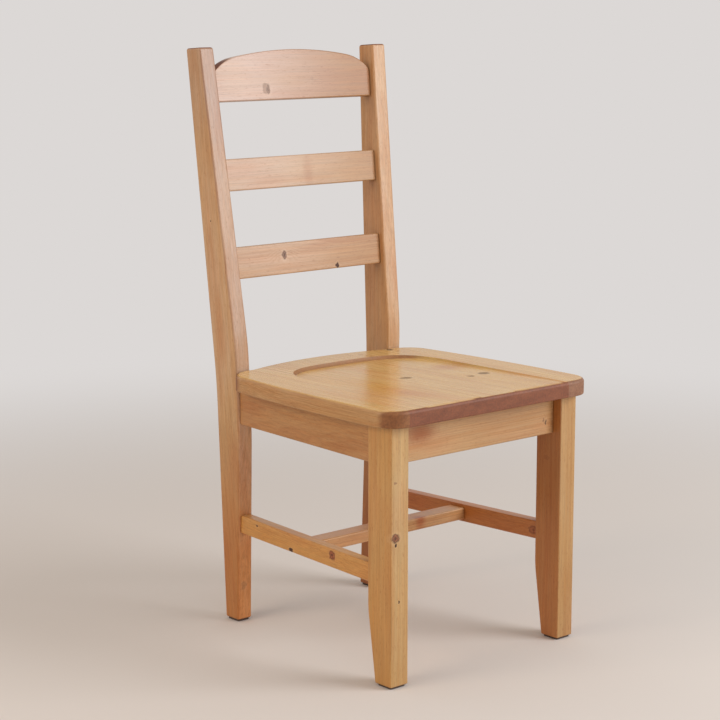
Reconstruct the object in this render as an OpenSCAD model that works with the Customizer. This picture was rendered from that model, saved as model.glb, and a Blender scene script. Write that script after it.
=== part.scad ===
// Ladder-back dining chair in solid pine: two raked back posts carry three
// boards, two front legs and four aprons carry a scooped seat of edge-glued
// boards, and an H of stretchers ties the legs. Dowels join every rail.
// The front of the chair faces -Y, and the origin is on the floor under the
// middle of the chair.

/* [Overall] */
// Height of the back posts above the floor, at the front of their tops
total_h = 951; // [880:1:1000]
// Width outside the front legs
front_w = 400; // [370:1:440]
// From the front face of the front legs to the front face of the posts, at the seat
frame_d = 397; // [360:1:430]
// Radius of the eased edges on the wood
ease_r = 3; // [1.5:0.5:4]

/* [Front legs] */
// Width of a front leg, seen from the front
leg_w = 35.5; // [32:0.5:45]
// Depth of a front leg, seen from the side
leg_d = 53; // [48:0.5:60]
// Depth of the foot of a front leg
leg_foot_d = 36; // [30:0.5:44]
// Height at which the back of a front leg starts to taper
leg_taper_h = 117; // [90:1:140]

/* [Back posts] */
// Width of a back post, seen from the front
post_w = 29; // [26:0.5:36]
// Depth of a back post under the seat
post_d = 56; // [50:0.5:62]
// Depth of the foot of a back post
post_foot_d = 34; // [30:0.5:44]
// Width outside the back posts at the floor
post_floor_w = 329; // [300:1:340]
// Outward lean of each back post, in degrees
post_splay = 2.1; // [1:0.1:2.4]
// Rake of the front face above the seat, in degrees
rake_front = 7.4; // [5:0.1:9]
// Rake of the rear face above the seat, in degrees
rake_rear = 4.5; // [3:0.1:6]
// Height at which the front face bends back
bend_front_h = 468; // [455:1:490]
// Height at which the rear face bends back
bend_rear_h = 408; // [390:1:430]
// Height under which the front face tapers towards the foot
post_taper_h = 320; // [240:1:335]
// Slope of the tops of the posts, down towards the back, in degrees
post_top_slope = 4.5; // [0:0.5:8]

/* [Back boards] */
// Thickness of the three boards of the back
board_t = 20; // [16:0.5:24]
// Set-back of the boards from the front faces of the posts
board_back = 10; // [4:0.5:12]
// Radius of the corners of the boards, seen from the front
board_corner_r = 4; // [2.5:0.5:8]
// Distance from the tops of the posts down to the underside of the crest rail
crest_down = 87.5; // [80:0.5:110]
// Height of the crest rail in its middle
crest_h = 82.5; // [70:0.5:90]
// Radius of the crown of the crest rail
crest_crown_r = 700; // [600:10:1000]
// Radius of the shoulders of the crest rail
crest_shoulder_r = 150; // [120:5:260]
// Distance from the middle to where a shoulder starts
crest_shoulder_x = 110; // [90:1:125]
// Distance from the underside of the crest rail down to that of the middle slat
middle_down = 143.5; // [130:0.5:155]
// Distance from the underside of the middle slat down to that of the lower slat
lower_down = 142; // [130:0.5:155]
// Height of the middle and lower slats
slat_h = 52; // [44:1:60]

/* [Aprons] */
// Thickness of the aprons
apron_t = 20; // [18:0.5:22]
// Height of the front and back aprons
apron_front_h = 63; // [54:1:68]
// Height of the side aprons
apron_side_h = 63; // [54:1:68]
// Set-back of the front apron from the front of the legs
apron_front_back = 16; // [12:0.5:18]
// Set-back of the back apron from the front of the posts
apron_rear_back = 4; // [2:0.5:8]
// Set-back of the side aprons and stretchers from the outside of the legs
side_back = 5; // [3:0.5:6]

/* [Stretchers] */
// Height of the top of the side stretchers
stretcher_top_z = 187; // [170:1:210]
// Height of a side stretcher
stretcher_h = 30; // [26:1:34]
// Thickness of a side stretcher, and height of the cross stretcher
stretcher_t = 20; // [18:0.5:22]
// Width of the cross stretcher, which lies flat
cross_w = 32; // [28:0.5:36]

/* [Seat] */
// Height of the seat's top above the floor
seat_top = 432; // [425:1:440]
// Thickness of the seat
seat_t = 26; // [22:0.5:28]
// Half the width of the seat where it is widest
seat_half_w = 220; // [212:1:235]
// Overhang of the seat in front of the front legs
seat_front = 20; // [12:1:28]
// Distance behind the front legs' front at which the seat is widest
seat_wide_y = 95; // [60:1:130]
// Radius of the seat's long side curves
seat_side_r = 2350; // [2000:50:3500]
// Radius of the front corners of the seat
seat_front_r = 38; // [20:1:50]
// Radius of the back corners of the seat
seat_rear_r = 48; // [10:1:54]
// How far the back edge bows out between the posts
seat_bow = 23; // [12:1:30]
// Radius of the round-over on the seat's top edge
seat_ease_r = 6; // [3:0.5:7]
// Width of the first glued board, on the left
seat_board_1_w = 38; // [30:1:50]
// Width of the second board
seat_board_2_w = 142; // [130:1:155]
// Width of the third board; the fourth takes what is left
seat_board_3_w = 200; // [190:1:205]

/* [Seat scoop] */
// Depth of the scoop at the back of the seat
scoop_rear_deep = 6.5; // [4:0.5:8]
// Depth of the two leg channels at the front edge
scoop_front_deep = 1.2; // [0.6:0.1:2]
// Half the width of the scoop, at its widest square place
scoop_half_w = 146; // [134:1:150]
// Middle of the scoop, to the right of the middle of the seat
scoop_mid_x = 6; // [0:1:8]
// Where the sides of the scoop start to curve in, behind the legs' front
scoop_mid_y = 215; // [190:1:230]
// Length of the scoop behind that place
scoop_rear_len = 143; // [120:1:148]
// Width of the coved wall round the scoop
scoop_wall = 9; // [6:0.5:14]
// Widening of the scoop towards the front, for each mm
scoop_flare = 0.03; // [0:0.01:0.05]
// Roundness of the scoop's rear corners: 0.5 is squarish and 1 is an ellipse
scoop_round = 0.58; // [0.5:0.02:1]
// Half the width of the rise between the leg channels
pommel_w = 38; // [25:1:60]

/* [Joints] */
// Diameter of the dowels
dowel_d = 8; // [6:0.5:9]
// Depth of a dowel in each of its two pieces
dowel_in = 16; // [12:0.5:16]
// Clearance round a dowel and past each of its ends
dowel_gap = 0.1; // [0.05:0.05:0.3]
// Clearance between the seat and the posts
seat_gap = 0.3; // [0.2:0.1:1]
// Spacing of the two dowels in the front and side aprons
apron_pitch = 36; // [34:1:38]
// Spacing of the two dowels in the back apron, between those of the side aprons
apron_rear_pitch = 16; // [12:1:16]
// Spacing of the two dowels in a stretcher
stretcher_pitch = 14; // [12:0.5:16]
// Spacing of the two dowels in a slat
slat_pitch = 26; // [20:1:30]
// Spacing of the two dowels in the crest rail
crest_pitch = 40; // [30:1:44]

/* [Corner blocks and screws] */
// Height of the corner blocks
block_h = 25; // [20:1:32]
// Length of a block's face on an apron
block_foot = 34; // [28:1:38]
// Distance of a front block's face from the leg, along each apron
block_front_off = 22; // [18:1:28]
// Distance of a rear block's face from the post, along each apron
block_rear_off = 22; // [18:1:28]
// Shank diameter of the wood screws
screw_d = 4; // [3.5:0.5:5]
// Head diameter of the wood screws
screw_head_d = 8; // [7:0.5:9]
// Height of the head of a wood screw
screw_head_h = 2.6; // [2:0.2:4]
// Depth of a screw in the piece that it holds
screw_in = 12; // [8:0.5:14]
// Clearance round a screw's shank and head, where it passes through a block
screw_gap = 0.2; // [0.1:0.1:0.5]
// Depth of the counterbores for the seat's screws
seat_screw_sink = 6; // [4:0.5:10]

/* [Foot pads] */
// Thickness of the foot pads
pad_t = 3; // [2:0.5:5]
// Set-back of the pads from the faces of the feet
pad_inset = 3; // [2:0.5:5]

/* [Hidden] */

pine = "#dba25e";
pine_pale = "#e6bb7e";
birch = "#e8d2a6";
zinc = "#c9cbca";
felt = "#3a2c24";

seat_under = seat_top - seat_t;
stretcher_mid_z = stretcher_top_z - stretcher_h / 2;
apron_mid_z = seat_under - apron_side_h / 2;
far = 2000;
fine = 24;

// ---------- curves that the pieces share ----------

// A straight ramp that starts softly: 0 below -soft, a line above +soft
function ramp(d, soft) = d <= -soft ? 0 : d >= soft ? d : pow(d + soft, 2) / (4 * soft);

// Front and rear faces of the back posts, as Y at a height
post_taper = (post_d - post_foot_d) / (post_taper_h - pad_t);
post_taper_soft = 15;
front_soft = 30;
rear_soft = 45;
function post_front(z) = frame_d + tan(rake_front) * ramp(z - bend_front_h, front_soft)
    + post_taper * ramp(post_taper_h - z, post_taper_soft);
function post_rear(z) = frame_d + post_d + tan(rake_rear) * ramp(z - bend_rear_h, rear_soft);

// Outer and inner faces of the back posts, as X at a height
function post_outer(z) = post_floor_w / 2 + tan(post_splay) * z;
function post_inner(z) = post_outer(z) - post_w;

// Rear face of the front legs, as Y at a height
leg_taper = (leg_d - leg_foot_d) / (leg_taper_h - pad_t);
leg_taper_soft = 12;
function leg_rear(z) = leg_d - leg_taper * ramp(leg_taper_h - z, leg_taper_soft);
leg_inner = front_w / 2 - leg_w;

// The sloping tops of the posts, and the rearmost place on them
post_top_d = post_rear(total_h) - post_front(total_h);
post_tip_z = total_h - ease_r - (post_top_d - ease_r) * tan(post_top_slope);

// The whole is centred front to back
overall_d = seat_front + post_rear(post_tip_z);
mid_y = post_rear(post_tip_z) - overall_d / 2;
module placed() translate([0, -mid_y, 0]) children();

// Outer face of a side rail at height z, as X at a distance y from the front
function side_x(y, z) = let (f = (y - leg_d) / (post_front(z) - leg_d))
    (front_w / 2) * (1 - f) + post_outer(z) * f - side_back;

// ---------- lofted solids ----------

// A closed skin over rings of points, all rings with the same number of points
module skin(rings) {
    n = len(rings[0]);
    last = len(rings) - 1;
    polyhedron(
        points = [for (r = rings) each r],
        faces = concat(
            [[for (i = [0 : n - 1]) i]],
            [for (k = [0 : last - 1], i = [0 : n - 1]) let (j = (i + 1) % n)
                each [[k * n + j, k * n + i, (k + 1) * n + i],
                      [k * n + j, (k + 1) * n + i, (k + 1) * n + j]]],
            [[for (i = [n - 1 : -1 : 0]) last * n + i]]));
}

// Quarter-round easing as pairs of an inset and a distance from the end face
function easing(r) = [for (a = [0 : 30 : 90]) [r * (1 - sin(a)), r * (1 - cos(a))]];
function reversed(list) = [for (i = [len(list) - 1 : -1 : 0]) list[i]];

// A rectangle with rounded corners of radius r, inset by e
corner_steps = 3;
function eased_rect(x0, x1, y0, y1, r, e) = [
    for (q = [[x1 - r, y0 + r, -90], [x1 - r, y1 - r, 0], [x0 + r, y1 - r, 90], [x0 + r, y0 + r, 180]],
         s = [0 : corner_steps])
        let (a = q[2] + 90 * s / corner_steps, k = max(r - e, 0.05))
            [q[0] + k * cos(a), q[1] + k * sin(a)]];

// A bar along X between two matching faces; half_len(y, z) is the X of its end
rail_ends = easing(ease_r * 0.8);
module bar_x(y0, t, z0, h, half_len) {
    function ring(e, d, side) = [for (p = eased_rect(y0, y0 + t, z0, z0 + h, ease_r, e))
        [side * (half_len(p[0], p[1]) - d), p[0], p[1]]];
    skin(concat([for (q = rail_ends) ring(q[0], q[1], -1)],
                [for (q = reversed(rail_ends)) ring(q[0], q[1], 1)]));
}

// A side rail on the left, from the front leg back to the post
module side_rail(z0, h, t) {
    mid_z = z0 + h / 2;
    function ring(e, d, rear) = [for (p = eased_rect(0, t, z0, z0 + h, ease_r, e))
        let (y = rear ? post_front(p[1]) - d : leg_d + d)
            [p[0] - side_x(y, mid_z), y, p[1]]];
    skin(concat([for (q = rail_ends) ring(q[0], q[1], false)],
                [for (q = reversed(rail_ends)) ring(q[0], q[1], true)]));
}

// ---------- legs and posts ----------

// Heights of the rings of an upright with their insets, for the eased foot and top
function upright_levels(heights, top, top_r) = concat(
    [for (q = easing(ease_r)) [pad_t + q[1], q[0]]],
    [for (z = heights) if (z > pad_t + ease_r) [z, 0]],
    [for (q = reversed(easing(top_r))) [top - q[1], q[0]]]);
function bend_levels(z, soft) = [for (f = [-1 : 0.5 : 1]) z + f * soft];

// The rings of the top drop towards the back, along faces that stay flat
module post_blank() {
    heights = concat([for (f = [0.1 : 0.2 : 0.9]) f * post_taper_h],
        bend_levels(post_taper_h, post_taper_soft),
        [for (z = bend_levels(bend_rear_h, rear_soft)) if (z < bend_front_h - front_soft) z],
        bend_levels(bend_front_h, front_soft));
    skin([for (l = upright_levels(heights, total_h, ease_r))
        let (slope = l[0] > bend_front_h + front_soft ? tan(post_top_slope) : 0)
        [for (p = eased_rect(-post_outer(l[0]), -post_inner(l[0]),
            post_front(l[0]), post_rear(l[0]), ease_r, l[1]))
            let (drop = slope * max(0, p[1] - post_front(l[0]) - ease_r))
                [p[0] + drop * tan(post_splay), p[1] - drop * tan(rake_rear), l[0] - drop]]]);
}

// Back post on the left, bored for its dowels
module back_post() {
    color(pine) placed() difference() {
        post_blank();
        for (b = back_boards) at_board(b) board_dowels(b, -1, dowel_gap);
        side_rail_bores();
        back_apron_dowels(dowel_gap);
    }
}

module leg_blank()
    skin([for (l = upright_levels(bend_levels(leg_taper_h, leg_taper_soft), seat_under, ease_r / 2))
        [for (p = eased_rect(-front_w / 2, -leg_inner, 0, leg_rear(l[0]), ease_r, l[1]))
            [p[0], p[1], l[0]]]]);

// Front leg on the left, bored for its dowels
module front_leg() {
    color(pine) placed() difference() {
        leg_blank();
        side_rail_bores();
        front_apron_dowels(dowel_gap);
    }
}

// ---------- boards of the back ----------

crest_z = total_h - crest_down;
middle_z = crest_z - middle_down;
lower_z = middle_z - lower_down;

// Each board: its bottom, its height, the spacing of its dowels, and whether its top is arched
crest = [crest_z, crest_h, crest_pitch, true];
middle = [middle_z, slat_h, slat_pitch, false];
lower = [lower_z, slat_h, slat_pitch, false];
back_boards = [crest, middle, lower];

// Boards lie at the rake of the posts: a place on a board is X, depth, height
module at_board(b)
    translate([0, post_front(b[0]) + board_back, b[0]]) rotate([-rake_front, 0, 0]) children();

// Half the length of a board at height s above its bottom edge, at its lowest, rear side
function board_half(b, s) = post_inner(b[0] + s * cos(rake_front) - board_t * sin(rake_front));

// How far the crest rail's top has come down at a distance x from the middle, and its slope
function crest_drop(x) = let (a = min(abs(x), crest_shoulder_x), b = abs(x) - a)
    pow(a, 2) / (2 * crest_crown_r) + b * a / crest_crown_r + pow(b, 2) / (2 * crest_shoulder_r);
function crest_slope(x) = let (a = min(x, crest_shoulder_x))
    atan(a / crest_crown_r + (x - a) / crest_shoulder_r);

// Height of a board at its ends
function end_height(b) = b[1] - (b[3] ? crest_drop(board_half(b, b[1])) : 0);

// Right half of a board's outline, inset by e, from its bottom edge to its middle
function board_half_outline(b, e) =
    let (r = board_corner_r, k = r - e, end_h = end_height(b),
         low_x = board_half(b, r) - r, high_x = board_half(b, end_h - r) - r,
         tilt = b[3] ? crest_slope(high_x) : 0)
    concat(
        [for (a = [-90 : 30 : 0]) [low_x + k * cos(a), r + k * sin(a)]],
        [for (f = [0 : corner_steps]) let (a = (90 - tilt) * f / corner_steps)
            [high_x + k * cos(a), end_h - r + k * sin(a)]],
        b[3] ? [for (f = [0.93 : -0.093 : 0.01]) let (x = f * high_x)
            [x, b[1] - crest_drop(x) - e]] : []);

module board_blank(b) {
    function outline(e) = let (half = board_half_outline(b, e))
        concat(half, [for (p = reversed(half)) [-p[0], p[1]]]);
    function ring(e, y) = [for (p = outline(e)) [p[0], y, p[1]]];
    skin(concat([for (q = rail_ends) ring(q[0], q[1])],
                [for (q = reversed(rail_ends)) ring(q[0], board_t - q[1])]));
}

// The two dowels at one end of a board, or their bores with extra > 0
module board_dowels(b, side, extra)
    for (s = [-b[2] / 2, b[2] / 2]) let (lift = end_height(b) / 2 + s)
        dowel_x(side * board_half(b, lift), board_t / 2, lift, extra);

module back_board(b) color(pine_pale) placed() at_board(b) difference() {
    board_blank(b);
    for (side = [-1, 1]) board_dowels(b, side, dowel_gap);
}

// ---------- dowels of the rails ----------

// One dowel centred on a joint face, or its bore with extra > 0
module dowel(extra)
    cylinder(d = dowel_d + 2 * extra, h = 2 * (dowel_in + extra), center = true, $fn = fine);
module dowel_x(x, y, z, extra) translate([x, y, z]) rotate([0, 90, 0]) dowel(extra);
module dowel_y(x, y, z, extra) translate([x, y, z]) rotate([90, 0, 0]) dowel(extra);

// Both ends of the left side apron or stretcher
module side_rail_dowels(mid_z, pitch, t, extra) {
    for (s = [-pitch / 2, pitch / 2]) {
        z = mid_z + s;
        dowel_y(t / 2 - side_x(leg_d, mid_z), leg_d, z, extra);
        dowel_y(t / 2 - side_x(post_front(mid_z), mid_z), post_front(z), z, extra);
    }
}
module side_apron_dowels(extra) side_rail_dowels(apron_mid_z, apron_pitch, apron_t, extra);
module side_stretcher_dowels(extra)
    side_rail_dowels(stretcher_mid_z, stretcher_pitch, stretcher_t, extra);
module side_rail_bores() {
    side_apron_dowels(dowel_gap);
    side_stretcher_dowels(dowel_gap);
}

// Left ends of the front and back aprons
module front_apron_dowels(extra)
    for (s = [-apron_pitch / 2, apron_pitch / 2])
        dowel_x(-leg_inner, apron_front_back + apron_t / 2, apron_mid_z + s, extra);
module back_apron_dowels(extra)
    for (s = [-apron_rear_pitch / 2, apron_rear_pitch / 2]) let (z = apron_mid_z + s)
        dowel_x(-post_inner(z), frame_d + apron_rear_back + apron_t / 2, z, extra);

// Left end of the cross stretcher, halfway along the side stretchers
cross_y = (leg_d + post_front(stretcher_mid_z)) / 2;
function cross_half(y) = side_x(y, stretcher_mid_z) - stretcher_t;
cross_wood = 6;
cross_in = min(dowel_in, stretcher_t - cross_wood);
module cross_dowels(extra)
    for (s = [-stretcher_pitch / 2, stretcher_pitch / 2])
        translate([-cross_half(cross_y + s) - cross_in - extra, cross_y + s, stretcher_mid_z])
            rotate([0, 90, 0])
                cylinder(d = dowel_d + 2 * extra, h = cross_in + dowel_in + 2 * extra, $fn = fine);

module both_sides() {
    children();
    mirror([1, 0, 0]) children();
}
module slat_dowels() color(birch) placed()
    for (b = back_boards, side = [-1, 1]) at_board(b) board_dowels(b, side, 0);
module apron_dowels() color(birch) placed() both_sides() {
    side_apron_dowels(0);
    front_apron_dowels(0);
    back_apron_dowels(0);
}
module stretcher_dowels() color(birch) placed() both_sides() {
    side_stretcher_dowels(0);
    cross_dowels(0);
}

// ---------- aprons and stretchers ----------

module front_apron() color(pine) placed() difference() {
    bar_x(apron_front_back, apron_t, seat_under - apron_front_h, apron_front_h,
        function(y, z) leg_inner);
    both_sides() {
        front_apron_dowels(dowel_gap);
        at_front_screws() screw_pilot(block_wood / 2);
    }
}
module back_apron() color(pine) placed() difference() {
    bar_x(frame_d + apron_rear_back, apron_t, seat_under - apron_front_h, apron_front_h,
        function(y, z) post_inner(z));
    both_sides() {
        back_apron_dowels(dowel_gap);
        at_rear_screws() screw_pilot(block_wood / 2);
    }
}
module side_apron() color(pine) placed() difference() {
    side_rail(seat_under - apron_side_h, apron_side_h, apron_t);
    side_apron_dowels(dowel_gap);
    at_front_screws() screw_pilot(block_wood / 2);
    at_rear_screws() screw_pilot(block_wood / 2);
}
module side_stretcher() color(pine) placed() difference() {
    side_rail(stretcher_top_z - stretcher_h, stretcher_h, stretcher_t);
    side_stretcher_dowels(dowel_gap);
    cross_dowels(dowel_gap);
}
module cross_stretcher() color(pine) placed() difference() {
    bar_x(cross_y - cross_w / 2, cross_w, stretcher_mid_z - stretcher_t / 2, stretcher_t,
        function(y, z) cross_half(y));
    both_sides() cross_dowels(dowel_gap);
}

// ---------- corner blocks and their screws, on the left ----------

apron_inner_y = apron_front_back + apron_t;
rear_inner_y = frame_d + apron_rear_back;
function side_inner_x(y) = -side_x(y, apron_mid_z) + apron_t;

// Each block is a diagonal brace: two points on an end apron, two on the side apron
front_block_x = -leg_inner + block_front_off;
front_block_y = leg_d + block_front_off;
front_block_shape = [
    [front_block_x, apron_inner_y], [front_block_x + block_foot, apron_inner_y],
    [side_inner_x(front_block_y + block_foot), front_block_y + block_foot],
    [side_inner_x(front_block_y), front_block_y]];
rear_block_x = -post_inner(apron_mid_z) + block_rear_off;
rear_block_y = frame_d - block_rear_off;
rear_block_shape = [
    [rear_block_x, rear_inner_y], [rear_block_x + block_foot, rear_inner_y],
    [side_inner_x(rear_block_y - block_foot), rear_block_y - block_foot],
    [side_inner_x(rear_block_y), rear_block_y]];

// Screws point down here, with the seat of their heads at the origin and len of block under it
block_screw_z = seat_under - block_h / 2;
block_wood = block_foot / 2;
pilot_over = 0.5;
module screw(len) {
    translate([0, 0, -len - screw_in]) cylinder(d = screw_d, h = len + screw_in, $fn = fine);
    cylinder(d = screw_head_d, h = screw_head_h, $fn = fine);
}
module screw_hole(len) {
    translate([0, 0, -len - 1]) cylinder(d = screw_d + 2 * screw_gap, h = len + 2, $fn = fine);
    cylinder(d = screw_head_d + 2 * screw_gap, h = block_foot, $fn = fine);
}
module screw_pilot(len) translate([0, 0, -len - screw_in - pilot_over])
    cylinder(d = screw_d, h = screw_in + 2 * pilot_over, $fn = fine);

// Places of the two screws of each block, one into each apron
module at_front_screws() {
    y = front_block_y + block_foot / 2;
    translate([front_block_x + block_foot / 2, apron_inner_y + block_wood / 2, block_screw_z])
        rotate([-90, 0, 0]) children();
    translate([side_inner_x(y) + block_wood / 2, y, block_screw_z]) rotate([0, 90, 0]) children();
}
module at_rear_screws() {
    y = rear_block_y - block_foot / 2;
    translate([rear_block_x + block_foot / 2, rear_inner_y - block_wood / 2, block_screw_z])
        rotate([90, 0, 0]) children();
    translate([side_inner_x(y) + block_wood / 2, y, block_screw_z]) rotate([0, 90, 0]) children();
}

// Seat screws come up through the middle of each block
function middle_of(shape) = (shape[0] + shape[1] + shape[2] + shape[3]) / 4;
seat_screw_len = block_h - seat_screw_sink;
module at_seat_screw(shape)
    translate([middle_of(shape)[0], middle_of(shape)[1], seat_under - seat_screw_len])
        rotate([180, 0, 0]) children();

module corner_block(shape) color(pine_pale) placed() difference() {
    translate([0, 0, seat_under - block_h]) linear_extrude(block_h) polygon(shape);
    at_seat_screw(shape) screw_hole(seat_screw_len);
    children();
}
module corner_block_front() corner_block(front_block_shape)
    at_front_screws() screw_hole(block_wood / 2);
module corner_block_rear() corner_block(rear_block_shape)
    at_rear_screws() screw_hole(block_wood / 2);
module block_screws() color(zinc) placed() both_sides() {
    at_front_screws() screw(block_wood / 2);
    at_rear_screws() screw(block_wood / 2);
}
module seat_screws() color(zinc) placed() both_sides()
    for (shape = [front_block_shape, rear_block_shape]) at_seat_screw(shape) screw(seat_screw_len);

// ---------- seat ----------

// Side edge of the seat, as X at a distance y from the legs' front
function seat_edge(y) = seat_half_w - pow(y - seat_wide_y, 2) / (2 * seat_side_r);

// Half of the seat's outline on the right, inset by e, from front to back
seat_back_y = frame_d - seat_gap;
bow_off = 3;
bow_x = post_inner(seat_under) - bow_off;
function seat_half_outline(e) =
    let (fy = seat_front_r - seat_front, ry = seat_back_y - seat_rear_r)
    concat(
        [for (a = [-90 : 15 : 0]) [seat_edge(fy) - seat_front_r + (seat_front_r - e) * cos(a),
            fy + (seat_front_r - e) * sin(a)]],
        [for (f = [0.15 : 0.17 : 0.9]) let (y = fy + f * (ry - fy)) [seat_edge(y) - e, y]],
        [for (a = [0 : 15 : 90]) [seat_edge(ry) - seat_rear_r + (seat_rear_r - e) * cos(a),
            ry + (seat_rear_r - e) * sin(a)]],
        [for (f = [1 : -0.18 : 0.01]) let (x = f * bow_x)
            [x, seat_back_y - e + seat_bow * (1 - pow(f, 2))]]);
function seat_outline(e) = let (half = seat_half_outline(e))
    concat(half, [for (p = reversed(half)) [-p[0], p[1]]]);
seat_under_ease = 2;
module seat_blank() {
    function ring(e, z) = [for (p = seat_outline(e)) [p[0], p[1], z]];
    skin(concat([for (q = easing(seat_under_ease)) ring(q[0], seat_under + q[1])],
                [for (q = reversed(easing(seat_ease_r))) ring(q[0], seat_top - q[1])]));
}

// Depth of the scoop at a place: deep at the back, two shallow channels in front
scoop_back_y = scoop_mid_y + scoop_rear_len;
scoop_fall = 1.3;
function scoop_depth(x, y) =
    let (f = min(1, max(0, (scoop_back_y - y) / (scoop_back_y + seat_front))))
    scoop_rear_deep + (scoop_front_deep - scoop_rear_deep) * pow(f, scoop_fall)
        - scoop_front_deep * exp(-pow(x / pommel_w, 2)) * pow(f, 2);

// One line round the scoop, inset by e, from the front left to the front right
scoop_arc_steps = 17;
scoop_start_y = -seat_front - 20;
function scoop_flank(e, side) = [for (f = [0 : 0.32 : 0.7])
    let (y = scoop_start_y + f * (scoop_mid_y - scoop_start_y))
        [side * (scoop_half_w - e + scoop_flare * (scoop_mid_y - y)), y]];
function scoop_line(e) = concat(
    scoop_flank(e, -1),
    [for (i = [0 : scoop_arc_steps]) let (a = 180 - 180 * i / scoop_arc_steps)
        [sign(cos(a)) * pow(abs(cos(a)), scoop_round) * (scoop_half_w - e),
         scoop_mid_y + pow(sin(a), scoop_round) * (scoop_rear_len - e)]],
    reversed(scoop_flank(e, 1)));
function cove(e) = e >= scoop_wall ? 1 : sin(90 * e / scoop_wall);

// The wood the scoop takes away: nested lines make its wall and floor, and a fan to one point
// above the seat's front edge closes it
floor_insets = [40, 75, 110];
module scoop() {
    insets = [for (f = [-0.3, 0.3, 0.65, 1]) f * scoop_wall, each floor_insets];
    above = [for (p = scoop_line(insets[0])) [p[0], p[1], seat_top + scoop_rear_deep]];
    rings = concat([above], [for (e = insets) [for (p = scoop_line(e))
        [p[0], p[1], seat_top - scoop_depth(p[0], p[1]) * cove(e)]]]);
    n = len(above);
    last = len(rings) - 1;
    apex = len(rings) * n;
    rim = concat([for (k = [last : -1 : 0]) k * n], [for (i = [1 : n - 1]) i],
                 [for (k = [1 : last]) k * n + n - 1]);
    polyhedron(
        points = concat([for (r = rings) each r], [[0, scoop_start_y - 60, seat_top + 60]]),
        faces = concat(
            [for (j = [0 : len(rim) - 1]) [rim[j], rim[(j + 1) % len(rim)], apex]],
            [for (k = [0 : last - 1], i = [0 : n - 2])
                each [[k * n + i + 1, k * n + i, (k + 1) * n + i],
                      [k * n + i + 1, (k + 1) * n + i, (k + 1) * n + i + 1]]],
            [for (i = [0 : n / 2 - 2])
                each [[last * n + i, last * n + n - 1 - i, last * n + n - 2 - i],
                      [last * n + i, last * n + n - 2 - i, last * n + i + 1]]]));
}

// Glue lines between the boards, as X
glue_1 = -seat_half_w + seat_board_1_w;
glue_2 = glue_1 + seat_board_2_w;
glue_3 = glue_2 + seat_board_3_w;
module seat_board(x0, x1) color(pine_pale) placed() difference() {
    intersection() {
        seat_blank();
        translate([x0, -far / 2, 0]) cube([x1 - x0, far, far]);
    }
    translate([scoop_mid_x, 0, 0]) scoop();
    both_sides() for (shape = [front_block_shape, rear_block_shape])
        at_seat_screw(shape) screw_pilot(seat_screw_len);
}

// ---------- foot pads ----------

module foot_pad(x0, x1, y0, y1) color(felt) placed()
    translate([x0 + pad_inset, y0 + pad_inset, 0])
        cube([x1 - x0 - 2 * pad_inset, y1 - y0 - 2 * pad_inset, pad_t]);
module foot_pad_front() foot_pad(-front_w / 2, -leg_inner, 0, leg_rear(pad_t));
module foot_pad_rear()
    foot_pad(-post_outer(pad_t), -post_inner(pad_t), post_front(pad_t), post_rear(pad_t));

// ---------- nodes ----------

back_post();  // back_post_left
mirror([1, 0, 0]) back_post();  // back_post_right
front_leg();  // front_leg_left
mirror([1, 0, 0]) front_leg();  // front_leg_right
back_board(crest);  // crest_rail
back_board(middle);  // middle_slat
back_board(lower);  // lower_slat
front_apron();
back_apron();
side_apron();  // side_apron_left
mirror([1, 0, 0]) side_apron();  // side_apron_right
side_stretcher();  // side_stretcher_left
mirror([1, 0, 0]) side_stretcher();  // side_stretcher_right
cross_stretcher();
seat_board(-far, glue_1);  // seat_board_1
seat_board(glue_1, glue_2);  // seat_board_2
seat_board(glue_2, glue_3);  // seat_board_3
seat_board(glue_3, far);  // seat_board_4
corner_block_front();  // corner_block_front_left
mirror([1, 0, 0]) corner_block_front();  // corner_block_front_right
corner_block_rear();  // corner_block_rear_left
mirror([1, 0, 0]) corner_block_rear();  // corner_block_rear_right
slat_dowels();
apron_dowels();
stretcher_dowels();
block_screws();
seat_screws();
foot_pad_front();  // foot_pad_front_left
mirror([1, 0, 0]) foot_pad_front();  // foot_pad_front_right
foot_pad_rear();  // foot_pad_rear_left
mirror([1, 0, 0]) foot_pad_rear();  // foot_pad_rear_right
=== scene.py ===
from functools import partial
from itertools import product
from math import cos, exp, pi, radians, sin

import bmesh
import bpy
from bpy.props import FloatProperty, FloatVectorProperty, PointerProperty
from mathutils import Matrix, Vector


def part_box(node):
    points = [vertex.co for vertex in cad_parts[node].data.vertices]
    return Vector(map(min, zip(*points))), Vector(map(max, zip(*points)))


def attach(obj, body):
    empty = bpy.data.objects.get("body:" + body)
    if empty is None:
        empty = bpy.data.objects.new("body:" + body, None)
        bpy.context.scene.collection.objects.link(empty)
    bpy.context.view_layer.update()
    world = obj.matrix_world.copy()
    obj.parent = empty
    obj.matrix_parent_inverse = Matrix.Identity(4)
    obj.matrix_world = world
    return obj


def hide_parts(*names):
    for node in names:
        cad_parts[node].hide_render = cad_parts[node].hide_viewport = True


bl_info = {
    "name": "Pine Dining Chair",
    "version": (1, 0, 0),
    "blender": (4, 5, 0),
    "location": "3D View > Sidebar > Chair",
    "description": "Dresses a packed ladder-back chair as lacquered pine, on a pale studio floor",
    "category": "Object",
}

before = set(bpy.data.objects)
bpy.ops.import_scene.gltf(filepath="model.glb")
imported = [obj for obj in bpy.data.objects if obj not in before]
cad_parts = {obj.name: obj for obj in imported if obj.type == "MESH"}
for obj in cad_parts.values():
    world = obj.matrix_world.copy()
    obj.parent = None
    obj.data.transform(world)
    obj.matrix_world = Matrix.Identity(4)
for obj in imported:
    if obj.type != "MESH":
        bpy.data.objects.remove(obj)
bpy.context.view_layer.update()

X, Y, Z = Vector((1, 0, 0)), Vector((0, 1, 0)), Vector((0, 0, 1))
MM = 0.001
TINY = 0.1 * MM

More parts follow.
